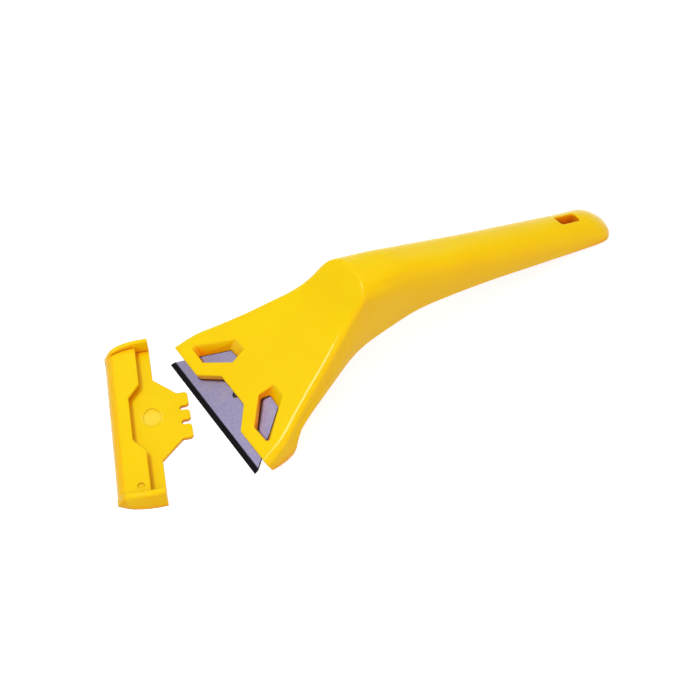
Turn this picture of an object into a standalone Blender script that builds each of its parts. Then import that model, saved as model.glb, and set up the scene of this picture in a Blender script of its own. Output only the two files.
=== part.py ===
"""Window scraper in three pieces: the moulded handle and head, the steel blade that
slides into the head's pocket, and the loose blade guard lying in front of it.

Metres, +Z up, +X from the blade towards the handle's end, +Y towards the far side.
The head is drawn in its own frame (u, v, n): u runs up the head from the cutting edge,
v is sideways and n stands square to the blade, measured from its middle plane.
"""
import math

import bmesh
import bpy
from mathutils import Matrix, Vector

# the blade: a trapezoid with its long side ground to an edge
EDGE_LENGTH = 0.062
BLADE_DEPTH = 0.0225
BLADE_THICKNESS = 0.0008
EDGE_LAND = 0.00006
BEVEL_DEPTH = 0.0017
BEVEL_END_IN = 0.0005
BLADE_SIDE_SLOPE_SHARE = 0.72
BLADE_HOLE_U = 0.0124
BLADE_HOLE_RADIUS = 0.0015
NOTCH_HALF_WIDTH = 0.0012
NOTCH_DEPTH = 0.0014
NOTCH_V = 0.0070

# the blade's pocket: lands above, ledges below and a stop behind
POCKET_CLEARANCE = 0.0003
POCKET_FLOOR = 0.0013
LEDGE_THICKNESS = 0.0020
LEDGE_FRONT_U = 0.0100
LEDGE_BACK_IN = 0.0013
LEDGE_INNER_V = 0.0079
LOBE_WIDTH = 0.0056
STOP_WALL = 0.0044
SLOT = BLADE_THICKNESS / 2 + POCKET_CLEARANCE

# the head: tilt, flat face over the blade, then a sweep up to the handle's ridge
HEAD_TILT = math.radians(25.5)
HEAD_FRONT_X = 0.0033
FRONT_RUN = 0.0018
FRONT_U = 0.0056
HEAD_OVERHANG = 0.0034
FACE_N = 0.0043
FACE_FLAT = 0.050
SWEEP_LENGTH = 0.030
SWEEP_RISE = 0.0082
SWEEP_SHARES = [(0.0, 0.0), (0.20, 0.085), (0.37, 0.23), (0.53, 0.43), (0.67, 0.57),
                (0.80, 0.72), (1.0, 1.0)]

# plan of the head: (share of the way to the neck, share of the narrowing still to come)
NECK_X = 0.0610
NECK_HALF = 0.0127
NECK_TAPER_SHARE = 0.045
HEAD_PLAN_SHARES = [(0.0, 1.0), (0.10, 0.948), (0.177, 0.889), (0.234, 0.809),
                    (0.423, 0.565), (0.624, 0.332), (0.735, 0.196), (0.794, 0.131),
                    (0.854, 0.075), (0.922, 0.033), (1.0, 0.0)]
# how much of the plan's narrowing the lower edge makes later than the top one
FLARE_SHARE = 0.8

# side view of the lower edge: the head's round foot, then the arch down to the tail
FOOT_SHARES = [(0.0, 0.33), (0.075, 0.215), (0.175, 0.14), (0.33, 0.10), (0.506, 0.10),
               (0.68, 0.165), (0.785, 0.355), (0.878, 0.71), (1.0, 1.0)]
ARCH_HEIGHT = 0.0164
ARCH_SHARES = [(0.0324, 0.585), (0.0653, 0.665), (0.0989, 0.75), (0.1325, 0.84),
               (0.1678, 0.909), (0.2031, 0.939), (0.2384, 0.945), (0.2737, 0.957),
               (0.327, 0.988), (0.380, 1.0), (0.468, 0.91), (0.586, 0.73), (0.704, 0.49),
               (0.822, 0.25), (0.875, 0.145), (0.951, 0.02), (1.0, 0.0)]

# the handle: its ridge, the half width of its lower edge and how square its section is,
# all along the way from the neck, and how its end is rounded off
HANDLE_END_X = 0.1903
RIDGE_HEIGHT = 0.0410
RIDGE_SHARES = [(-0.24, 1.22), (0.010, 1.0), (0.116, 0.950), (0.224, 0.849),
                (0.333, 0.739), (0.495, 0.598), (0.611, 0.4975), (0.743, 0.390),
                (0.835, 0.317), (0.936, 0.229), (1.0, 0.178)]
TAIL_HALF = 0.0105
LOWER_NECK_HALF = 0.0135
GRIP_PLAN_SHARES = [(0.0, 1.0), (0.07, 0.60), (0.147, 0.33), (0.224, 0.25), (0.302, 0.20),
                    (0.456, 0.167), (0.611, 0.10), (0.766, 0.033), (1.0, 0.0)]
GRIP_POWER_SHARES = [(0.0, 3.0), (0.30, 3.0), (0.456, 2.5), (0.611, 2.3), (0.766, 1.95),
                     (0.84, 1.8), (1.0, 1.8)]
BLEND_LENGTH = 0.024
SHOULDER_DROP = 0.0085
CROWN_POWER_SHARE = 2.4
END_CORNER = 0.0078
END_ROUND_SHARE = 0.96
END_SLOPE = 0.012
END_DROP = 0.0048

# small edges of the moulding, and the pitch of the rings it is drawn through
EDGE_FILLET = 0.0031
CREASE_SOFTNESS = 0.0016
RIM_FILLET = 0.0009
RIM_ANGLE = math.radians(70)
RIM_STEPS = 3
LOWER_FILLET = 0.0006
STATION_PITCH = 0.0030
CREASE_REACH = 0.0080
CREASE_PITCH = 0.0011

# openings in the head, far side only: (share of the blade's depth, of half its edge) at
# the face and at the blade, where the outer side runs along the blade's own slanted side,
# then the recess in the face's front edge
WINDOW_TOP_SHARES = [(0.485, 0.905), (1.150, 0.520), (1.160, 0.340), (0.850, 0.305),
                     (0.462, 0.605)]
WINDOW_SIDE_SHARES = [0.462, 0.933]
WINDOW_FLOOR_SHARES = [(0.960, 0.348), (0.813, 0.300), (0.462, 0.587)]
WINDOW_LIP = 0.0008
WINDOW_CORNER = 0.0007
RECESS_BACK_U = 0.0125
RECESS_FRONT_V = 0.0160
RECESS_BACK_V = 0.0081
RECESS_CORNER = 0.0016

# hollow underside with a spine and cross ribs, and the slot that the tool hangs by
WALL = 0.0024
RIB_THICKNESS = 0.0018
RIB_PITCH = 0.0170
RIB_RECESS = 0.0012
HANG_SETBACK = 0.0210
HANG_LENGTH = 0.0108
HANG_WIDTH = 0.0048
HANG_CORNER = 0.0012
HANG_WALL = 0.0039

# the guard, in its own frame: g runs from its nose towards the tongue, h along it
GUARD_AHEAD = 0.0324
GUARD_ASIDE = 0.0156
GUARD_TURN = math.radians(-22.0)
GUARD_PLAY = 0.0009
GUARD_DEPTH = 0.0168
GUARD_BOW = 0.0010
GUARD_PLATE = 0.0013
GUARD_WALL = 0.0022
CHEEK_HEIGHT = 0.0065
CHEEK_ROUND = 0.0010
CHEEK_DRAFT = 0.0013
CHEEK_SHARES = [(0.0, 0.0), (0.03, 0.20), (0.10, 0.50), (0.208, 0.738), (0.37, 0.862),
                (0.595, 0.938), (1.0, 1.0)]
CHEEK_STATION_SHARES = [-0.008, 0.015, 0.03, 0.06, 0.10, 0.155, 0.21, 0.29, 0.37, 0.48, 0.595,
                        0.80, 1.0]
LIP_HEIGHT = 0.0042
LIP_THICKNESS = 0.0011
LIP_END_G = 0.0118
LIP_MID_G = 0.0075
LIP_MID_HALF = 0.0101
LIP_STEP_HALF = 0.0159
LIP_SHARES = [(0.0, 0.0), (0.03, 0.27), (0.10, 0.57), (0.22, 0.80), (0.407, 0.929),
              (0.627, 0.976), (1.0, 1.0)]
MARK_G = 0.0086
MARK_H = -0.0306
MARK_RADIUS = 0.0012
MARK_DEPTH = 0.0004
OVAL_G = 0.0150
OVAL_H = 0.0010
OVAL_LENGTH = 0.0088
OVAL_WIDTH = 0.0064
OVAL_DEPTH = 0.0002
NOSE_WALL = 0.0020
TONGUE_BASE_HALF = 0.0191
TONGUE_TIP_HALF = 0.0108
TONGUE_LENGTH = 0.0081
FINGER_LENGTH = 0.0038
FINGER_GAP = 0.0021
MIDDLE_FINGER = 0.0047
FINGER_CORNER = 0.0009

MERGE = 0.00001
MARGIN = 0.0040
DEPTH_MARGIN = 0.0160
ROUND_STEPS = 24
SMOOTH_ANGLE = math.radians(32)
YELLOW = (0.913, 0.680, 0.006, 1.0)
STEEL = (0.330, 0.310, 0.400, 1.0)


def material(name, colour, rough, metal):
    """A plain shader for one node."""
    mat = bpy.data.materials.new(name)
    mat.use_nodes = True
    shader = mat.node_tree.nodes["Principled BSDF"]
    shader.inputs["Base Color"].default_value = colour
    shader.inputs["Roughness"].default_value = rough
    shader.inputs["Metallic"].default_value = metal
    return mat


def head(u, v, n):
    """A point given in the head's own frame."""
    c, s = math.cos(HEAD_TILT), math.sin(HEAD_TILT)
    return Vector((u * c - n * s, v, u * s + n * c))


def along(table, x):
    """Reads a table of pairs at x, smoothly and without overshoot."""
    if x <= table[0][0]:
        return table[0][1]
    if x >= table[-1][0]:
        return table[-1][1]
    slopes = [(b[1] - a[1]) / (b[0] - a[0]) for a, b in zip(table, table[1:])]
    grads = [slopes[0]]
    for a, b in zip(slopes, slopes[1:]):
        grads.append(0.0 if a * b <= 0 else 2 * a * b / (a + b))
    grads.append(slopes[-1])
    for i, (a, b) in enumerate(zip(table, table[1:])):
        if x <= b[0]:
            h = b[0] - a[0]
            t = (x - a[0]) / h
            return (a[1] * (1 + 2 * t) * (1 - t) ** 2 + grads[i] * h * t * (1 - t) ** 2
                    + b[1] * t * t * (3 - 2 * t) + grads[i + 1] * h * t * t * (t - 1))
    return table[-1][1]


def scaled(shares, start, length, base, rise):
    """Turns a table of shares into one of lengths."""
    return [(start + a * length, base + b * rise) for a, b in shares]


HEAD_HALF = EDGE_LENGTH / 2 + HEAD_OVERHANG
GRIP_LENGTH = HANDLE_END_X - NECK_X
POCKET_BACK = head(BLADE_DEPTH + POCKET_CLEARANCE, 0.0, 0.0)
FOOT_RISE = POCKET_BACK.z - SLOT - POCKET_FLOOR
SWEEP = scaled(SWEEP_SHARES, FACE_FLAT, SWEEP_LENGTH, FACE_N, SWEEP_RISE)
FACE = [head(-MARGIN, 0.0, FACE_N)] + [head(u, 0.0, n) for u, n in SWEEP]
FACE_LINE = [(p.x, p.z) for p in FACE]
HEAD_PLAN = scaled(HEAD_PLAN_SHARES, HEAD_FRONT_X, NECK_X - HEAD_FRONT_X, NECK_HALF,
                   HEAD_HALF - NECK_HALF)
LOWER_EDGE = scaled(FOOT_SHARES, HEAD_FRONT_X, POCKET_BACK.x - HEAD_FRONT_X, 0.0, FOOT_RISE)
LOWER_EDGE += scaled(ARCH_SHARES, POCKET_BACK.x, HANDLE_END_X - POCKET_BACK.x, 0.0,
                     ARCH_HEIGHT)
RIDGE = scaled(RIDGE_SHARES, NECK_X, GRIP_LENGTH, 0.0, RIDGE_HEIGHT)
GRIP_PLAN = scaled(GRIP_PLAN_SHARES, NECK_X, GRIP_LENGTH, TAIL_HALF,
                   LOWER_NECK_HALF - TAIL_HALF)
GRIP_POWER = scaled(GRIP_POWER_SHARES, NECK_X, GRIP_LENGTH, 0.0, 1.0)
HANG_X = HANDLE_END_X - HANG_SETBACK
HOLLOW_FROM_X = POCKET_BACK.x + STOP_WALL
HOLLOW_TO_X = HANG_X - HANG_LENGTH / 2 - HANG_WALL
LIP_TOP = scaled(LIP_SHARES, 0.0, LIP_END_G, 0.0, LIP_HEIGHT)
CHEEK_TOP = scaled(CHEEK_SHARES, 0.0, GUARD_DEPTH, 0.0, CHEEK_HEIGHT)


def face_z(x):
    """Height of the head's face, going on upwards past the crease."""
    if x > FACE_LINE[-1][0]:
        (x0, z0), (x1, z1) = FACE_LINE[-2:]
        return z1 + (x - x1) * (z1 - z0) / (x1 - x0)
    return along(FACE_LINE, x)


def soft_min(a, b, reach):
    """The lower of two heights, blended where they come within reach of each other."""
    h = max(reach - abs(a - b), 0.0) / reach
    return min(a, b) - h * h * reach / 4


def half_width(x):
    """Half the head's width along its top edge, going on a little past the neck."""
    if x > NECK_X:
        return NECK_HALF - (x - NECK_X) * NECK_TAPER_SHARE
    return along(HEAD_PLAN, x)


def ridge_z(x):
    """Height of the handle's ridge, rounded down to its end."""
    d = max(x - (HANDLE_END_X - END_SLOPE), 0.0) / END_SLOPE
    return along(RIDGE, x) - END_DROP * d * d


def grip_half(x):
    """Half the handle's width at its lower edge, round at the end in plan."""
    d = max(x - (HANDLE_END_X - END_CORNER), 0.0) / END_CORNER
    return along(GRIP_PLAN, x) * math.sqrt(1 - (END_ROUND_SHARE * d) ** 2)


def top_z(x, y):
    """Height of the head's top: its face, or the crest of the ridge behind the crease."""
    w = half_width(x)
    y = min(abs(y), w)
    crown = (1 - (y / w) ** CROWN_POWER_SHARE) ** (1 / CROWN_POWER_SHARE)
    ridge = ridge_z(x) - SHOULDER_DROP * (1 - crown)
    inside = max(y - (w - EDGE_FILLET), 0.0)
    edge = EDGE_FILLET - math.sqrt(max(EDGE_FILLET ** 2 - inside ** 2, 0.0))
    return soft_min(face_z(x) - edge, ridge, CREASE_SOFTNESS)


def lower_z(x):
    return along(LOWER_EDGE, x)


def flare(x):
    """How much wider the head's lower edge is than its top one, as its walls stand
    square to the blade while the plan narrows towards the handle."""
    c, s = math.cos(HEAD_TILT), math.sin(HEAD_TILT)
    above = (x * c + lower_z(x) * s) * c - FACE_N * s
    return FLARE_SHARE * (half_width(above) - half_width(x))


def head_points(x, inset):
    """Half a section of the head, from its middle line over the edge and down the side."""
    full = half_width(x)
    w = full - inset
    wide = w + flare(x)
    foot = lower_z(x) + LOWER_FILLET
    quarter = math.pi / 2
    ys = [(w - EDGE_FILLET) * math.sin(quarter * k / 8) for k in range(9)]
    ys += [w - EDGE_FILLET + EDGE_FILLET * math.sin(quarter * k / 5) for k in (1, 2, 3, 4, 5)]
    points = [(y, top_z(x, y * full / w) - inset) for y in ys]
    edge = points[-1][1]
    for k in (1, 2, 3, 4):
        bulge = math.sin(quarter * k / 4)
        points.append((w + (wide - w) * bulge, edge + (foot - edge) * k / 4))
    return points


def grip_points(x, inset):
    """Half a section of the handle: a rounded arch, squarer near the neck."""
    wide = grip_half(x) - inset
    foot = lower_z(x) + LOWER_FILLET
    rise = ridge_z(x) - inset - foot
    bend = 2 / along(GRIP_POWER, x)
    angles = [math.pi / 2 * k / 17 for k in range(17)]
    points = [(wide * math.sin(a) ** bend, foot + rise * math.cos(a) ** bend) for a in angles]
    return points + [(wide, foot)]


def grip_z(x, y):
    """Height of the handle's top at a point near its tail."""
    foot = lower_z(x) + LOWER_FILLET
    power = along(GRIP_POWER, x)
    arch = (1 - (abs(y) / grip_half(x)) ** power) ** (1 / power)
    return foot + (ridge_z(x) - foot) * arch


def half_section(x, inset=0.0):
    """Half a section of the moulding, the head's form melting into the handle's."""
    t = (x - NECK_X) / BLEND_LENGTH
    if t <= 0:
        return head_points(x, inset)
    if t >= 1:
        return grip_points(x, inset)
    t = t * t * (3 - 2 * t)
    return [(a[0] + (b[0] - a[0]) * t, a[1] + (b[1] - a[1]) * t)
            for a, b in zip(head_points(x, inset), grip_points(x, inset))]


def section(x):
    """One closed ring of the outer form at x, from the near lower edge over the top."""
    half = half_section(x)
    half.append((half[-1][0] - LOWER_FILLET, lower_z(x)))
    far = [Vector((x, y, z)) for y, z in half]
    near = [Vector((x, -y, z)) for y, z in half[1:]]
    return list(reversed(near)) + far


def stations():
    """Where the outer form's rings stand along x: closest at the foot, crease and end."""
    xs = [HEAD_FRONT_X - FRONT_RUN]
    xs += [x for x, _ in LOWER_EDGE[:len(FOOT_SHARES)]]
    last = HANDLE_END_X - END_SLOPE
    for stop, pitch in ((NECK_X - CREASE_REACH, STATION_PITCH),
                        (NECK_X + CREASE_REACH, CREASE_PITCH),
                        (NECK_X + BLEND_LENGTH, STATION_PITCH), (last, 2 * STATION_PITCH)):
        x = xs[-1]
        count = math.ceil((stop - x) / pitch)
        xs += [x + (stop - x) * k / count for k in range(1, count + 1)]
    xs += [last + END_SLOPE * math.sin(math.pi / 2 * k / 9) for k in range(1, 10)]
    return xs


def lofted(name, rings, mat=None):
    """A closed solid through rings that all have the same number of points."""
    bm = bmesh.new()
    rows = [[bm.verts.new(p) for p in ring] for ring in rings]
    n = len(rows[0])
    for a, b in zip(rows, rows[1:]):
        for i in range(n):
            j = (i + 1) % n
            bm.faces.new((a[i], a[j], b[j], b[i]))
    bm.faces.new(list(reversed(rows[0])))
    bm.faces.new(rows[-1])
    bmesh.ops.recalc_face_normals(bm, faces=bm.faces)
    mesh = bpy.data.meshes.new(name)
    bm.to_mesh(mesh)
    bm.free()
    obj = bpy.data.objects.new(name, mesh)
    bpy.context.scene.collection.objects.link(obj)
    if mat:
        mesh.materials.append(mat)
    return obj


def head_prism(name, low, high, n_low, n_high):
    """A solid between two outlines in (u, v) at two heights n over the blade."""
    return lofted(name, [[head(u, v, n_low) for u, v in low],
                         [head(u, v, n_high) for u, v in high]])


def stretched(low, high, n_low, n_high, n):
    """The outline at height n on the straight walls through two outlines."""
    t = (n - n_low) / (n_high - n_low)
    return [(a[0] + (b[0] - a[0]) * t, a[1] + (b[1] - a[1]) * t) for a, b in zip(low, high)]


def combine(obj, others, operation):
    """Applies exact Booleans to obj and takes the other solids away."""
    for other in others:
        mod = obj.modifiers.new(operation.title(), "BOOLEAN")
        mod.operation = operation
        mod.solver = "EXACT"
        mod.object = other
    graph = bpy.context.evaluated_depsgraph_get()
    mesh = bpy.data.meshes.new_from_object(obj.evaluated_get(graph))
    obj.modifiers.clear()
    old = obj.data
    obj.data = mesh
    mesh.name = obj.name
    bpy.data.meshes.remove(old)
    for other in others:
        data = other.data
        bpy.data.objects.remove(other)
        bpy.data.meshes.remove(data)
    bm = bmesh.new()
    bm.from_mesh(mesh)
    bmesh.ops.remove_doubles(bm, verts=bm.verts, dist=MERGE)
    bmesh.ops.dissolve_degenerate(bm, edges=bm.edges, dist=MERGE)
    bm.to_mesh(mesh)
    bm.free()


def mirrored(outline):
    return [(u, -v) for u, v in reversed(outline)]


def disc(radius, steps, u0=0.0, v0=0.0):
    return [(u0 + radius * math.cos(2 * math.pi * k / steps),
             v0 + radius * math.sin(2 * math.pi * k / steps)) for k in range(steps)]


def grown(outline, amount):
    """An outline with each of its sides moved outwards, its corners kept sharp."""
    points = [Vector(p) for p in outline]
    after = points[1:] + points[:1]
    area = sum(a.x * b.y - a.y * b.x for a, b in zip(points, after))
    turn = math.copysign(amount, area)
    sides = [(b - a).normalized() for a, b in zip(points, after)]
    result = []
    for point, one, two in zip(points, sides[-1:] + sides[:-1], sides):
        mitre = Vector((one.y + two.y, -one.x - two.x))
        result.append(tuple(point + mitre * (2 * turn / mitre.length_squared)))
    return result


def rounded(outline, radius):
    """An outline with each corner replaced by an arc."""
    points = [Vector(p) for p in outline]
    result = []
    for before, point, after in zip(points[-1:] + points[:-1], points, points[1:] + points[:1]):
        one, two = (before - point).normalized(), (after - point).normalized()
        half = math.acos(one.dot(two)) / 2
        middle = point + (one + two).normalized() * (radius / math.sin(half))
        start = point + one * (radius / math.tan(half)) - middle
        end = point + two * (radius / math.tan(half)) - middle
        for k in range(4):
            way = (start * (3 - k) + end * k).normalized()
            result.append(tuple(middle + way * radius))
    return result


def rim_profile():
    """Heights over the blade and growth of a cut whose rim in the face is rounded."""
    low = FACE_N - RIM_FILLET * math.sin(RIM_ANGLE)
    arcs = [RIM_ANGLE * k / RIM_STEPS for k in range(RIM_STEPS + 1)]
    profile = [(low + RIM_FILLET * math.sin(a), RIM_FILLET * (1 - math.cos(a))) for a in arcs]
    above = RIM_FILLET / 2
    n, grow = profile[-1]
    return profile + [(n + above, grow + above * math.tan(RIM_ANGLE))]


def side_v(u):
    """Half the blade's width at u, along its slanted side."""
    return EDGE_LENGTH / 2 - BEVEL_END_IN - (u - BEVEL_DEPTH) * BLADE_SIDE_SLOPE_SHARE


def blade_outline(grow):
    """The blade's outline, or the pocket's when grown by its clearance."""
    slope = math.hypot(1.0, BLADE_SIDE_SLOPE_SHARE)
    back = BLADE_DEPTH + grow
    return [(BEVEL_DEPTH, side_v(BEVEL_DEPTH) + grow * slope), (back, side_v(back) + grow * slope)]


def make_blade(mat):
    """The trapezoid blade with a ground edge, two rear notches and a centre hole."""
    half = EDGE_LENGTH / 2
    t = BLADE_THICKNESS / 2
    (u1, v1), (u2, v2) = blade_outline(0.0)
    notch = [(u2, NOTCH_V + NOTCH_HALF_WIDTH), (u2 - NOTCH_DEPTH, NOTCH_V + NOTCH_HALF_WIDTH),
             (u2 - NOTCH_DEPTH, NOTCH_V - NOTCH_HALF_WIDTH), (u2, NOTCH_V - NOTCH_HALF_WIDTH)]
    far = [(u1, v1), (u2, v2)] + notch
    body = far + mirrored(far)
    bm = bmesh.new()
    top = [bm.verts.new(head(u, v, t)) for u, v in body]
    low = [bm.verts.new(head(u, v, -t)) for u, v in body]
    edge_top = [bm.verts.new(head(0.0, s * half, EDGE_LAND)) for s in (-1, 1)]
    edge_low = [bm.verts.new(head(0.0, s * half, -EDGE_LAND)) for s in (-1, 1)]
    bm.faces.new(top)
    bm.faces.new(list(reversed(low)))
    n = len(body)
    for i in range(n - 1):
        bm.faces.new((top[i], low[i], low[i + 1], top[i + 1]))
    bm.faces.new((top[-1], edge_top[0], edge_top[1], top[0]))
    bm.faces.new((low[-1], low[0], edge_low[1], edge_low[0]))
    bm.faces.new((edge_top[0], edge_low[0], edge_low[1], edge_top[1]))
    bm.faces.new((top[0], edge_top[1], edge_low[1], low[0]))
    bm.faces.new((top[-1], low[-1], edge_low[0], edge_top[0]))
    bmesh.ops.recalc_face_normals(bm, faces=bm.faces)
    mesh = bpy.data.meshes.new("blade")
    bm.to_mesh(mesh)
    bm.free()
    mesh.materials.append(mat)
    blade = bpy.data.objects.new("blade", mesh)
    bpy.context.scene.collection.objects.link(blade)
    ring = disc(BLADE_HOLE_RADIUS, ROUND_STEPS, BLADE_HOLE_U)
    combine(blade, [head_prism("hole", ring, ring, -MARGIN, MARGIN)], "DIFFERENCE")
    return blade


def hollow_cell(x0, x1, side):
    """The empty space between two cross ribs on one side of the spine."""
    rings = []
    spine = RIB_THICKNESS / 2
    for k in range(5):
        x = x0 + (x1 - x0) * k / 4
        roof = half_section(x, WALL)
        wide, low = roof[-1][0], lower_z(x) - MARGIN
        arch = [(spine + y * (1 - spine / wide), z) for y, z in roof]
        points = [(spine, low)] + arch + [(wide, low)]
        rings.append([Vector((x, side * y, z)) for y, z in points])
    return lofted("cell", rings)


def both_sides(outline):
    return outline + mirrored(outline)


def hang_cut():
    """The hang slot, with round corners and a rounded rim in the handle's top."""
    slot = rounded(both_sides([(HANG_X + HANG_LENGTH / 2, HANG_WIDTH / 2),
                               (HANG_X - HANG_LENGTH / 2, HANG_WIDTH / 2)]), HANG_CORNER)
    rings = [[Vector((x, y, -MARGIN)) for x, y in slot]]
    for n, grow in rim_profile():
        outline = grown(slot, grow)
        rings.append([Vector((x, y, grip_z(x, y) + n - FACE_N)) for x, y in outline])
    rings.append([Vector((x, y, RIDGE_HEIGHT)) for x, y in outline])
    return lofted("hang", rings)


def front_outline():
    """All that lies before the head's front and in the recess between its prongs."""
    side = HEAD_HALF + MARGIN
    corners = both_sides([(-MARGIN, side), (FRONT_U, side), (FRONT_U, RECESS_FRONT_V),
                          (RECESS_BACK_U, RECESS_BACK_V)])
    return rounded(corners, RECESS_CORNER)


def rimmed(name, low, high, n_low, n_high):
    """A cut on straight walls through two outlines, with a rounded rim in the face."""
    rings = [(n_low, 0.0)] + rim_profile()
    outlines = [grown(stretched(low, high, SLOT, n_high, n), grow) for n, grow in rings]
    return lofted(name, [[head(u, v, n) for u, v in outline]
                         for (n, _), outline in zip(rings, outlines)])


def head_cuts():
    """The blade's pocket, the recess, the two windows and the room below the ledges."""
    far = blade_outline(POCKET_CLEARANCE)
    mouth = far[0][1] + (far[0][0] + MARGIN) * BLADE_SIDE_SLOPE_SHARE
    pocket = both_sides([(-MARGIN, mouth)] + far[1:])
    front = front_outline()
    nose = both_sides([(-MARGIN, HEAD_HALF + MARGIN), (FRONT_U, HEAD_HALF + MARGIN)])
    cuts = [head_prism("pocket", pocket, pocket, -SLOT, SLOT),
            head_prism("nose", nose, nose, -DEPTH_MARGIN, SLOT / 2),
            rimmed("front", front, front, 0.0, FACE_N)]

    half = EDGE_LENGTH / 2
    sides = [u * BLADE_DEPTH for u in WINDOW_SIDE_SHARES]
    floor = [(u, side_v(u) + WINDOW_LIP) for u in sides]
    floor += [(u * BLADE_DEPTH, v * half) for u, v in WINDOW_FLOOR_SHARES]
    face = [(u * BLADE_DEPTH, v * half) for u, v in WINDOW_TOP_SHARES]
    floor, face = rounded(floor, WINDOW_CORNER), rounded(face, WINDOW_CORNER)
    cuts += [rimmed("window", floor, face, SLOT / 2, FACE_N),
             rimmed("window", mirrored(floor), mirrored(face), SLOT / 2, FACE_N)]

    back = BLADE_DEPTH - LEDGE_BACK_IN
    lobe = HEAD_HALF - LOBE_WIDTH
    under = both_sides([(-MARGIN, lobe), (back, lobe - WALL)])
    bay = both_sides([(-MARGIN, LEDGE_INNER_V), (back, LEDGE_INNER_V)])
    strip = both_sides([(-MARGIN, lobe), (LEDGE_FRONT_U, lobe)])
    cuts += [head_prism("under", under, under, -DEPTH_MARGIN, -SLOT - LEDGE_THICKNESS),
             head_prism("bay", bay, bay, -DEPTH_MARGIN, 0.0),
             head_prism("strip", strip, strip, -DEPTH_MARGIN, 0.0)]
    return cuts


def hollow_cuts():
    """The cells between the ribs, and the strip that sets the ribs back from the rim."""
    length = HOLLOW_TO_X - HOLLOW_FROM_X
    count = round(length / RIB_PITCH)
    pitch = length / count
    cuts = []
    for k in range(count):
        x0 = HOLLOW_FROM_X + pitch * k + RIB_THICKNESS / 2
        x1 = x0 + pitch - RIB_THICKNESS
        cuts += [hollow_cell(x0, x1, 1), hollow_cell(x0, x1, -1)]
    rim = []
    for k in range(4 * count + 1):
        x = HOLLOW_FROM_X + RIB_THICKNESS + (length - 2 * RIB_THICKNESS) * k / (4 * count)
        w = half_section(x, WALL)[-1][0]
        low, high = lower_z(x) - MARGIN, lower_z(x) + RIB_RECESS
        rim.append([Vector((x, -w, low)), Vector((x, -w, high)),
                    Vector((x, w, high)), Vector((x, w, low))])
    return cuts + [lofted("rim", rim)]


def make_handle(mat):
    """The one-piece moulding: outer form, blade pocket, windows, hollow underside."""
    handle = lofted("handle", [section(x) for x in stations()], mat)
    for cut in head_cuts() + hollow_cuts() + [hang_cut()]:
        combine(handle, [cut], "DIFFERENCE")
    return handle


def guard(g, h, z):
    """A point given in the guard's own frame, lying on the table."""
    c, s = math.cos(GUARD_TURN), math.sin(GUARD_TURN)
    return Vector((-GUARD_AHEAD + g * c - h * s, GUARD_ASIDE + g * s + h * c, z))


def guard_half(g):
    """Half the guard's length at g: it clears the blade's ends in front and the head's
    sides behind, and its ends are bowed."""
    front = EDGE_LENGTH / 2 + GUARD_PLAY + GUARD_WALL
    rear = HEAD_HALF + GUARD_WALL
    t = g / GUARD_DEPTH
    return front + (rear - front) * t + GUARD_BOW * 4 * t * (1 - t)


def guard_prism(name, outline, z0, z1):
    return lofted(name, [[guard(g, h, z0) for g, h in outline],
                         [guard(g, h, z1) for g, h in outline]])


def tongue_outline(inset):
    """Far half of the guard's plate: its end, the tongue's slope and the three fingers."""
    side = GUARD_WALL / 2
    tip = GUARD_DEPTH + TONGUE_LENGTH
    end = tip + FINGER_LENGTH
    mid = MIDDLE_FINGER / 2
    outer = mid + FINGER_GAP
    c = FINGER_CORNER
    return [(inset, guard_half(0.0) - side), (GUARD_DEPTH, guard_half(GUARD_DEPTH) - side),
            (GUARD_DEPTH, TONGUE_BASE_HALF), (tip, TONGUE_TIP_HALF),
            (end - c, TONGUE_TIP_HALF), (end, TONGUE_TIP_HALF - c), (end, outer + c),
            (end - c, outer), (tip + FINGER_GAP / 2, outer), (tip, mid + FINGER_GAP / 2),
            (tip + FINGER_GAP / 2, mid), (end - c, mid), (end, mid - c)]


def make_lip():
    """The lip that hooks back over the plate, notched in its middle."""
    inner = [(g + NOSE_WALL * (1 - g / LIP_END_G), max(z - LIP_THICKNESS, GUARD_PLATE / 2))
             for g, z in LIP_TOP[1:]]
    profile = [(0.0, -MARGIN / 2)] + LIP_TOP + list(reversed(inner)) + [(NOSE_WALL, -MARGIN / 2)]
    front = guard_half(0.0) - GUARD_WALL / 2
    rear = guard_half(LIP_END_G) - GUARD_WALL / 2
    lip = lofted("lip", [[guard(g, s * (front + (rear - front) * g / LIP_END_G), z)
                          for g, z in profile] for s in (-1, 1)])
    notch = both_sides([(LIP_MID_G, LIP_MID_HALF), (LIP_END_G, LIP_STEP_HALF),
                        (GUARD_DEPTH, LIP_STEP_HALF + GUARD_DEPTH - LIP_END_G)])
    combine(lip, [guard_prism("notch", notch, GUARD_PLATE, CHEEK_HEIGHT)], "DIFFERENCE")
    return lip


def make_cheek(side):
    """One end wall, rounded on top, its outer side leaning out towards the table."""
    rings = []
    for share in CHEEK_STATION_SHARES:
        g = share * GUARD_DEPTH
        top = max(along(CHEEK_TOP, g), GUARD_PLATE / 4)
        r = min(CHEEK_ROUND, top / 3)
        lean = CHEEK_DRAFT * min(1.0, 0.5 + 2 * share)
        outer = guard_half(g)
        inner = outer - GUARD_WALL
        points = [(outer + lean, -MARGIN / 4), (outer + lean, 0.0)]
        for k in range(5):
            a = math.pi / 2 * k / 4
            z = top - r + r * math.sin(a)
            points.append((outer + lean * (1 - z / CHEEK_HEIGHT) - r * (1 - math.cos(a)), z))
        points += [(inner + r / 2 * (1 - math.cos(a)), top - r / 2 + r / 2 * math.sin(a))
                   for a in (math.pi / 2, math.pi / 4, 0.0)]
        points.append((inner, -MARGIN / 4))
        rings.append([guard(g, side * h, z) for h, z in points])
    return lofted("cheek", rings)


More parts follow.
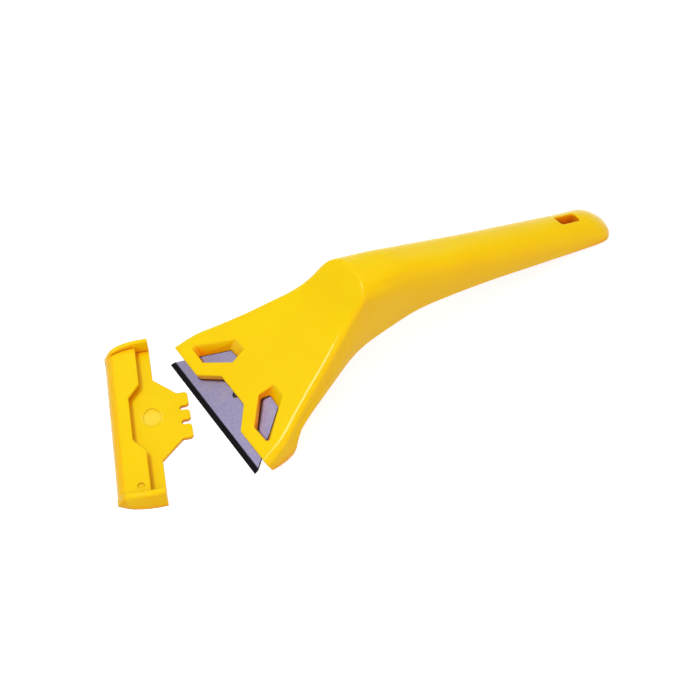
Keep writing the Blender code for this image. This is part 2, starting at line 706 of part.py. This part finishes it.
def make_guard(mat):
    """The guard: a thin plate with a fingered tongue, a hooked nose and two cheeks. All of
    them reach below the table's line, and one cut there gives the flat base."""
    outline = both_sides(tongue_outline(NOSE_WALL / 4))
    body = guard_prism("blade_guard", outline, -MARGIN, GUARD_PLATE)
    body.data.materials.append(mat)
    for piece in (make_lip(), make_cheek(1), make_cheek(-1)):
        combine(body, [piece], "UNION")
    mark = disc(MARK_RADIUS, ROUND_STEPS, MARK_G, MARK_H)
    oval = [(OVAL_G + g * OVAL_WIDTH / 2, OVAL_H + h * OVAL_LENGTH / 2)
            for g, h in disc(1.0, ROUND_STEPS)]
    reach = HEAD_HALF + 2 * MARGIN
    base = both_sides([(-MARGIN, reach), (2 * GUARD_DEPTH, reach)])
    for piece in (guard_prism("base", base, -2 * MARGIN, 0.0),
                  guard_prism("mark", mark, LIP_HEIGHT - MARK_DEPTH, CHEEK_HEIGHT),
                  guard_prism("oval", oval, GUARD_PLATE - OVAL_DEPTH, CHEEK_HEIGHT)):
        combine(body, [piece], "DIFFERENCE")
    return body


def settle(objects):
    """Moves the whole part so that its box stands centred on the origin."""
    points = [obj.matrix_world @ v.co for obj in objects for v in obj.data.vertices]
    low = [min(p[i] for p in points) for i in range(3)]
    high = [max(p[i] for p in points) for i in range(3)]
    shift = Vector((-(low[0] + high[0]) / 2, -(low[1] + high[1]) / 2, -low[2]))
    for obj in objects:
        obj.data.transform(Matrix.Translation(shift))


def shade(obj, angle):
    """Smooth shading with the sharp edges kept."""
    mesh = obj.data
    for poly in mesh.polygons:
        poly.use_smooth = True
    bm = bmesh.new()
    bm.from_mesh(mesh)
    for edge in bm.edges:
        edge.smooth = len(edge.link_faces) == 2 and edge.calc_face_angle(0.0) < angle
    bm.to_mesh(mesh)
    bm.free()


def main():
    for obj in list(bpy.data.objects):
        bpy.data.objects.remove(obj)
    pieces = [make_handle(material("handle_plastic", YELLOW, 0.35, 0.0)),
              make_blade(material("blade_steel", STEEL, 0.3, 1.0)),
              make_guard(material("guard_plastic", YELLOW, 0.35, 0.0))]
    settle(pieces)
    for obj in pieces:
        shade(obj, SMOOTH_ANGLE)


main()
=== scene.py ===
"""Looks of the window scraper: glossy yellow mouldings, a ground steel blade, a pale studio.

Metres, +Z up, +X from the blade towards the handle's end. The three CAD solids are shown
as they are, and this script gives them materials, a floor, lamps and the camera.
"""
import math

import bpy
from mathutils import Matrix, Vector


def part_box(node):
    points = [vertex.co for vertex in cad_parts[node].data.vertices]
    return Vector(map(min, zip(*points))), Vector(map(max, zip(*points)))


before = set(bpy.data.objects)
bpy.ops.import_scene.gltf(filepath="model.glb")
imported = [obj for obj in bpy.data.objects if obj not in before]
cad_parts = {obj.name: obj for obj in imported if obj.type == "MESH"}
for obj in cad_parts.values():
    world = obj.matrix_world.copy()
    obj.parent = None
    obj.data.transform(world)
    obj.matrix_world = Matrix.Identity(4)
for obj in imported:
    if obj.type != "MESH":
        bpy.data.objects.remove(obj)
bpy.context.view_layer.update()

# the fitted camera, placed from the middle of the cutting edge
CAMERA_FROM_EDGE = Vector((-0.10471, -0.24660, 0.31909))
CAMERA_AZIMUTH = math.radians(-123.91)
CAMERA_ELEVATION = math.radians(47.14)
CAMERA_ROLL = math.radians(-0.37)
FOCAL_PIXELS = 1135.54
FRAME_PIXELS = 700
SENSOR_MM = 36.0
CLIP_START = 0.01

# the blade's tilt and the depth of its ground edge
HEAD_TILT = math.radians(25.5)
BEVEL_DEPTH = 0.0023
BEVEL_BLUR = BEVEL_DEPTH / 12

# the guard's turn, and places on it across its length, from the middle of its box:
# the frosted oval on its plate, and where the painted shade along its nose begins and ends
GUARD_TURN = math.radians(-22.0)
OVAL_FROM_MIDDLE = Vector((0.00566, -0.00024, 0.0))
OVAL_SIZE = (0.0086, 0.0072)
NOSE_SHADE_FADE = (-0.0072, -0.0060)

# plastic: how far the gloss runs round the moulded edges, the reach of the orange painted shade
# in the hollows of each moulding, and the reach of the brown painted shade in its narrow gaps
EDGE_ROUNDING = 0.0006
HANDLE_HOLLOW_SHADE_REACH = 0.008
GUARD_HOLLOW_SHADE_REACH = 0.003
PLASTIC_GAP_SHADE_REACH = 0.0012
# steel: the reach of the black painted shade where the blade goes into the plastic
STEEL_GAP_SHADE_REACH = 0.0014
# light that enters the plastic: how far red, green and blue go, as shares of the depth
SUBSURFACE_DEPTH = 0.0010
SUBSURFACE_SHARES = (1.0, 0.40, 0.10)

# ambient occlusion values between which a hollow passes from full to no painted shade
HOLLOW_SHADE_OPENNESS = (0.40, 0.92)
PLASTIC_GAP_SHADE_OPENNESS = (0.42, 0.64)
STEEL_GAP_SHADE_OPENNESS = (0.40, 0.74)
AO_SAMPLES = 8
BEVEL_SAMPLES = 6

# noises: size per metre, detail and roughness
CLOUDS = (45.0, 3.0, 0.5)
SCUFFS = (700.0, 5.0, 0.6)
FINE_GRAIN = (2600.0, 3.0, 0.5)
WAVES = (140.0, 2.0, 0.5)
FROST = (900.0, 4.0, 0.6)
GRINDING = (4000.0, 4.0, 0.65)
SPECKLE = (1300.0, 3.0, 0.7)
RUBS = (160.0, 3.0, 0.6)
# grinding lines run along the blade
ALONG_BLADE = (1.0, 0.03, 1.0)
# noise values between which a colour or a roughness changes over
MIDDLE_NOISE = (0.35, 0.65)
WIDE_NOISE = (0.3, 0.7)
RUB_NOISE = (0.55, 0.75)
MOST_RUBBED = 0.45
# roughness at the two ends of that change
PLASTIC_ROUGHNESS = (0.19, 0.25)
STEEL_ROUGHNESS = (0.38, 0.56)
# bumps: strength and height
FINE_GRAIN_BUMP = (0.10, 0.0002)
WAVE_BUMP = (0.10, 0.0006)
SPECKLE_BUMP = (0.12, 0.0001)
GRINDING_BUMP = (0.18, 0.0001)
# how squarely a face of the blade looks up or down, from its ends, painted black as shade, to
# its flats
END_SHADE_FACING = (0.3, 0.6)
# the oval's ragged edge, in its own radii, and its most paleness
FROST_SPREAD = 0.25
OVAL_EDGE = (0.70, 1.05)
MOST_FROST = 0.70
# a length that no piece reaches, for an ellipse that runs on up and down
ENDLESS = 1000.0

# colours, linear
YELLOW = (0.860, 0.675, 0.002, 1.0)
WARM_YELLOW = (0.855, 0.645, 0.002, 1.0)
PALE_YELLOW = (0.900, 0.740, 0.080, 1.0)
# painted shade: a deeper yellow for the guard's nose
NOSE_SHADE_YELLOW = (0.870, 0.545, 0.002, 1.0)
# painted shade: orange for the hollows of the mouldings
HOLLOW_SHADE_ORANGE = (0.900, 0.330, 0.002, 1.0)
STEEL = (0.290, 0.270, 0.455, 1.0)
PALE_STEEL = (0.375, 0.350, 0.535, 1.0)
RUBBED_STEEL = (0.465, 0.390, 0.420, 1.0)
# painted shade: brown for the narrow gaps of the mouldings
GAP_SHADE_BROWN = (0.160, 0.050, 0.004, 1.0)
# black for painted shade on the blade's ends and in its gaps, and for a painted reflection on
# its ground edge
BLACK_SHADE_AND_REFLECTION = (0.010, 0.009, 0.012, 1.0)
WHITE = (1.0, 1.0, 1.0, 1.0)
WORLD_LIGHT = (0.575, 0.520, 0.410, 1.0)
CEILING_GREY = (0.30, 0.30, 0.30, 1.0)
# sines of the heights between which the seen backdrop fades from white to the grey ceiling
BACKDROP_TOP = (0.22, 0.42)
FLOOR_GREY = (0.440, 0.460, 0.520, 1.0)
FLOOR_GLOW = 0.82
FLOOR_SIZE = 6.0
# half the length and width of the floor's painted shadow below the blade, where its glow is
# taken away, and that shadow's soft edge in its own radii
SHADOW_PATCH_HALVES = (0.011, 0.026)
SHADOW_PATCH_EDGE = (0.6, 1.0)

# lamps: name, direction, size, power and colour
LAMP_DISTANCE = 0.9
LAMPS = [
    ("key", (-0.38, 0.25, 0.89), 0.10, 2.4, (1.0, 1.0, 1.0)),
    ("left", (-1.0, -0.2, 0.4), 0.60, 0.47, (1.0, 0.62, 0.37)),
    ("top", (0.10, 0.10, 1.0), 0.80, 0.55, (1.0, 1.0, 1.0)),
    ("back", (0.5, 0.5, 0.7), 0.90, 0.40, (1.0, 0.92, 0.80)),
    ("far", (0.0, 1.0, 0.5), 0.80, 0.55, (1.0, 0.88, 0.70)),
    ("near", (-0.20, -1.0, 0.35), 0.60, 1.65, (1.0, 0.44, 0.25)),
    ("near_high", (-0.1, -0.7, 0.7), 0.60, 1.10, (1.0, 0.66, 0.42)),
    ("near_right", (0.5, -0.9, 0.4), 0.60, 0.87, (1.0, 0.41, 0.25)),
]


class Shader:
    """A short way to write a node tree."""

    def __init__(self, name):
        self.material = bpy.data.materials.new(name)
        self.material.use_nodes = True
        self.tree = self.material.node_tree
        self.principled = self.tree.nodes["Principled BSDF"]
        self.coords = self.node("ShaderNodeTexCoord").outputs["Object"]

    def node(self, kind, **settings):
        made = self.tree.nodes.new(kind)
        for key, value in settings.items():
            setattr(made, key, value)
        return made

    def link(self, source, target):
        self.tree.links.new(source, target)

    def set(self, **values):
        """Sets plain values on the surface shader; underscores stand for spaces."""
        for key, value in values.items():
            self.principled.inputs[key.replace("_", " ")].default_value = value

    def noise(self, kind, stretch=None):
        """A noise of one of the kinds above, stretched if asked."""
        texture = self.node("ShaderNodeTexNoise")
        for key, number in zip(("Scale", "Detail", "Roughness"), kind):
            texture.inputs[key].default_value = number
        source = self.coords
        if stretch:
            mapping = self.node("ShaderNodeMapping")
            mapping.inputs["Scale"].default_value = stretch
            self.link(source, mapping.inputs["Vector"])
            source = mapping.outputs["Vector"]
        self.link(source, texture.inputs["Vector"])
        return texture.outputs["Fac"]

    def spread(self, value, source, target=(0.0, 1.0)):
        """Maps a value from one range to another, clamped."""
        ramp = self.node("ShaderNodeMapRange")
        for key, number in zip(("From Min", "From Max", "To Min", "To Max"), source + target):
            ramp.inputs[key].default_value = number
        self.link(value, ramp.inputs["Value"])
        return ramp.outputs["Result"]

    def mix(self, factor, first, second):
        """The first colour where the factor is nought, and the second where it is one."""
        mixer = self.node("ShaderNodeMix", data_type="RGBA")
        self.link(factor, mixer.inputs["Factor"])
        for socket, colour in ((mixer.inputs["A"], first), (mixer.inputs["B"], second)):
            if isinstance(colour, tuple):
                socket.default_value = colour
            else:
                self.link(colour, socket)
        return mixer.outputs["Result"]

    def math(self, operation, *terms):
        """A math node on one or two other nodes' values."""
        node = self.node("ShaderNodeMath", operation=operation)
        for socket, term in zip(node.inputs, terms):
            self.link(term, socket)
        return node.outputs["Value"]

    def dot(self, vector, way):
        """How far a vector reaches along a direction."""
        product = self.node("ShaderNodeVectorMath", operation="DOT_PRODUCT")
        product.inputs[1].default_value = way
        self.link(vector, product.inputs[0])
        return product.outputs["Value"]

    def from_centre(self, centre, halves, turn=0.0):
        """Distance from an upright axis, one on the ellipse with these half sizes."""
        away = self.node("ShaderNodeMapping", vector_type="TEXTURE")
        away.inputs["Location"].default_value = (centre.x, centre.y, 0.0)
        away.inputs["Rotation"].default_value = (0.0, 0.0, turn)
        away.inputs["Scale"].default_value = (halves[0], halves[1], ENDLESS)
        self.link(self.coords, away.inputs["Vector"])
        length = self.node("ShaderNodeVectorMath", operation="LENGTH")
        self.link(away.outputs["Vector"], length.inputs[0])
        return length.outputs["Value"]

    def hollow_shade(self, reach, openness):
        """One deep in a gap or under an overhang, nought in the open: the mask for painted
        shade.
        """
        node = self.node("ShaderNodeAmbientOcclusion", samples=AO_SAMPLES)
        node.inputs["Distance"].default_value = reach
        return self.spread(node.outputs["AO"], openness, (1.0, 0.0))

    def bump(self, height, size, under=None):
        """A bump of a strength and height, on another bump's normal if given."""
        node = self.node("ShaderNodeBump")
        node.inputs["Strength"].default_value = size[0]
        node.inputs["Distance"].default_value = size[1]
        self.link(height, node.inputs["Height"])
        if under:
            self.link(under, node.inputs["Normal"])
        return node.outputs["Normal"]


def moulded_plastic(name, hollow_shade_reach):
    """Glossy yellow plastic with soft edges, a faint grain, and painted shade: orange in its
    hollows and brown in its narrow gaps.
    """
    s = Shader(name)
    s.set(Specular_IOR_Level=0.15, Subsurface_Weight=0.15, Subsurface_Scale=SUBSURFACE_DEPTH,
          Subsurface_Radius=SUBSURFACE_SHARES)
    s.colour = s.mix(s.spread(s.noise(CLOUDS), MIDDLE_NOISE), YELLOW, WARM_YELLOW)
    # painted shade: orange in the hollows, from ambient occlusion
    s.colour = s.mix(s.hollow_shade(hollow_shade_reach, HOLLOW_SHADE_OPENNESS), s.colour, HOLLOW_SHADE_ORANGE)
    # painted shade: brown in the narrow gaps, from ambient occlusion
    gap_shade = s.hollow_shade(PLASTIC_GAP_SHADE_REACH, PLASTIC_GAP_SHADE_OPENNESS)
    s.colour = s.mix(gap_shade, s.colour, GAP_SHADE_BROWN)
    s.link(s.colour, s.principled.inputs["Base Color"])
    s.link(s.spread(s.noise(SCUFFS), WIDE_NOISE, PLASTIC_ROUGHNESS),
           s.principled.inputs["Roughness"])
    rounded = s.node("ShaderNodeBevel", samples=BEVEL_SAMPLES)
    rounded.inputs["Radius"].default_value = EDGE_ROUNDING
    grain = s.bump(s.noise(FINE_GRAIN), FINE_GRAIN_BUMP, rounded.outputs["Normal"])
    s.link(s.bump(s.noise(WAVES), WAVE_BUMP, grain), s.principled.inputs["Normal"])
    return s


def guard_plastic(name):
    """The guard's plastic: a deeper yellow painted along its nose as shade, and paler in a
    plain oval on its plate.
    """
    s = moulded_plastic(name, GUARD_HOLLOW_SHADE_REACH)
    low, high = (Vector(corner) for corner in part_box("blade_guard"))
    middle = (low + high) / 2
    across = Vector((math.cos(GUARD_TURN), math.sin(GUARD_TURN), 0.0))
    fade = tuple(middle.dot(across) + edge for edge in NOSE_SHADE_FADE)
    # painted shade: a deeper yellow along the nose
    nose_shade = s.spread(s.dot(s.coords, across), fade, (1.0, 0.0))
    s.colour = s.mix(nose_shade, s.colour, NOSE_SHADE_YELLOW)
    halves = [size / 2 for size in OVAL_SIZE]
    radius = s.from_centre(middle + OVAL_FROM_MIDDLE, halves, GUARD_TURN)
    frost = s.spread(s.noise(FROST), MIDDLE_NOISE, (-FROST_SPREAD, FROST_SPREAD))
    inside = s.spread(s.math("ADD", radius, frost), OVAL_EDGE, (MOST_FROST, 0.0))
    s.colour = s.mix(inside, s.colour, PALE_YELLOW)
    s.link(s.colour, s.principled.inputs["Base Color"])
    return s


def ground_steel(name):
    """Grey blade steel: grinding lines along it, speckle, a ground edge painted black as a dark
    reflection, and painted black shade on its ends and in its gaps.
    """
    s = Shader(name)
    s.set(Metallic=0.9, Specular_IOR_Level=0.4)
    corner = Vector(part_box("blade")[0])
    up = Vector((math.cos(HEAD_TILT), 0.0, math.sin(HEAD_TILT)))
    square = Vector((-math.sin(HEAD_TILT), 0.0, math.cos(HEAD_TILT)))
    # painted reflection: the ground bevel along the cutting edge is painted black
    ground = corner.dot(up) + BEVEL_DEPTH
    fade = (ground - BEVEL_BLUR, ground + BEVEL_BLUR)
    bevel_reflection = s.spread(s.dot(s.coords, up), fade, (1.0, 0.0))
    # painted shade: faces that look neither up nor down, the blade's ends, are painted black
    normal = s.node("ShaderNodeTexCoord").outputs["Normal"]
    facing = s.math("ABSOLUTE", s.dot(normal, square))
    end_shade = s.spread(facing, END_SHADE_FACING, (1.0, 0.0))
    lines = s.noise(GRINDING, ALONG_BLADE)
    speckle = s.noise(SPECKLE)
    grey = s.mix(s.spread(speckle, MIDDLE_NOISE), STEEL, PALE_STEEL)
    rubbed = s.spread(s.noise(RUBS), RUB_NOISE, (0.0, MOST_RUBBED))
    grey = s.mix(rubbed, grey, RUBBED_STEEL)
    # painted shade: black where the blade goes into the plastic, from ambient occlusion
    gap_shade = s.hollow_shade(STEEL_GAP_SHADE_REACH, STEEL_GAP_SHADE_OPENNESS)
    for dark in (bevel_reflection, gap_shade, end_shade):
        grey = s.mix(dark, grey, BLACK_SHADE_AND_REFLECTION)
    s.link(grey, s.principled.inputs["Base Color"])
    s.link(s.spread(lines, WIDE_NOISE, STEEL_ROUGHNESS), s.principled.inputs["Roughness"])
    grain = s.bump(speckle, SPECKLE_BUMP)
    s.link(s.bump(lines, GRINDING_BUMP, grain), s.principled.inputs["Normal"])
    return s


def dress(node, material):
    """Gives a CAD node its material."""
    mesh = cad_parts[node].data
    if not mesh.materials:
        mesh.materials.append(material)
    for i in range(len(mesh.materials)):
        mesh.materials[i] = material


def edge_point():
    """The middle of the cutting edge."""
    low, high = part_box("blade")
    return Vector((low[0], (low[1] + high[1]) / 2, low[2]))


def make_camera():
    """The camera at the photograph's angle."""
    elevation, azimuth = CAMERA_ELEVATION, CAMERA_AZIMUTH
    back = Vector((math.cos(elevation) * math.cos(azimuth),
                   math.cos(elevation) * math.sin(azimuth), math.sin(elevation)))
    right = Vector((-math.sin(azimuth), math.cos(azimuth), 0.0))
    turn = Matrix((right, back.cross(right), back)).transposed()
    turn = turn @ Matrix.Rotation(CAMERA_ROLL, 3, "Z")
    data = bpy.data.cameras.new("camera")
    data.sensor_width = SENSOR_MM
    data.lens = FOCAL_PIXELS / FRAME_PIXELS * SENSOR_MM
    data.clip_start = CLIP_START
    camera = bpy.data.objects.new("camera", data)
    camera.matrix_world = Matrix.Translation(edge_point() + CAMERA_FROM_EDGE) @ turn.to_4x4()
    bpy.context.scene.collection.objects.link(camera)
    bpy.context.scene.camera = camera


def softbox(name, direction, size, power, colour):
    """A square lamp that faces the object from a direction."""
    data = bpy.data.lights.new(name, "AREA")
    data.shape = "SQUARE"
    data.size = size
    data.energy = power
    data.color = colour
    lamp = bpy.data.objects.new(name, data)
    way = Vector(direction).normalized()
    lamp.location = way * LAMP_DISTANCE
    lamp.rotation_euler = way.to_track_quat("Z", "Y").to_euler()
    bpy.context.scene.collection.objects.link(lamp)


def seen_rays(tree):
    """One for camera, glossy and transmission rays, nought for light that is spread."""
    path = tree.nodes.new("ShaderNodeLightPath")
    total = path.outputs["Is Camera Ray"]
    for name in ("Is Glossy Ray", "Is Transmission Ray"):
        higher = tree.nodes.new("ShaderNodeMath")
        higher.operation = "MAXIMUM"
        tree.links.new(total, higher.inputs[0])
        tree.links.new(path.outputs[name], higher.inputs[1])
        total = higher.outputs["Value"]
    return total


def make_world():
    """Even soft light, in a white backdrop that is seen to end in a grey ceiling."""
    world = bpy.data.worlds.new("studio")
    bpy.context.scene.world = world
    world.use_nodes = True
    tree = world.node_tree
    light = tree.nodes["Background"]
    light.inputs["Color"].default_value = WORLD_LIGHT
    way = tree.nodes.new("ShaderNodeSeparateXYZ")
    tree.links.new(tree.nodes.new("ShaderNodeTexCoord").outputs["Generated"],
                   way.inputs["Vector"])
    height = tree.nodes.new("ShaderNodeMapRange")
    for key, number in zip(("From Min", "From Max"), BACKDROP_TOP):
        height.inputs[key].default_value = number
    tree.links.new(way.outputs["Z"], height.inputs["Value"])
    wall = tree.nodes.new("ShaderNodeMix")
    wall.data_type = "RGBA"
    wall.inputs["A"].default_value = WHITE
    wall.inputs["B"].default_value = CEILING_GREY
    tree.links.new(height.outputs["Result"], wall.inputs["Factor"])
    shown = tree.nodes.new("ShaderNodeBackground")
    tree.links.new(wall.outputs["Result"], shown.inputs["Color"])
    mixer = tree.nodes.new("ShaderNodeMixShader")
    tree.links.new(seen_rays(tree), mixer.inputs["Fac"])
    tree.links.new(light.outputs["Background"], mixer.inputs[1])
    tree.links.new(shown.outputs["Background"], mixer.inputs[2])
    tree.links.new(mixer.outputs["Shader"], tree.nodes["World Output"].inputs["Surface"])


def make_floor(size):
    """A pale floor that keeps the object's shadow, with a painted shadow below the head where
    its glow is taken away.
    """
    half = size / 2
    mesh = bpy.data.meshes.new("floor")
    corners = [(-half, -half, 0.0), (half, -half, 0.0), (half, half, 0.0), (-half, half, 0.0)]
    mesh.from_pydata(corners, [], [(0, 1, 2, 3)])
    floor = bpy.data.objects.new("floor", mesh)
    bpy.context.scene.collection.objects.link(floor)
    s = Shader("floor_white")
    s.set(Base_Color=FLOOR_GREY, Roughness=0.9, Specular_IOR_Level=0.0, Emission_Color=WHITE)
    low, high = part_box("blade")
    middle = (Vector(low) + Vector(high)) / 2
    glow = s.spread(seen_rays(s.tree), (0.0, 1.0), (0.0, FLOOR_GLOW))
    # painted shadow: the floor's glow is taken away below the head
    painted_shadow = s.spread(s.from_centre(middle, SHADOW_PATCH_HALVES), SHADOW_PATCH_EDGE)
    s.link(s.math("MULTIPLY", glow, painted_shadow), s.principled.inputs["Emission Strength"])
    mesh.materials.append(s.material)


make_camera()
bpy.context.scene.view_settings.view_transform = "Standard"
make_world()
make_floor(FLOOR_SIZE)
for lamp in LAMPS:
    softbox(*lamp)

dress("handle", moulded_plastic("yellow_plastic", HANDLE_HOLLOW_SHADE_REACH).material)
dress("blade_guard", guard_plastic("guard_plastic").material)
dress("blade", ground_steel("blade_steel").material)
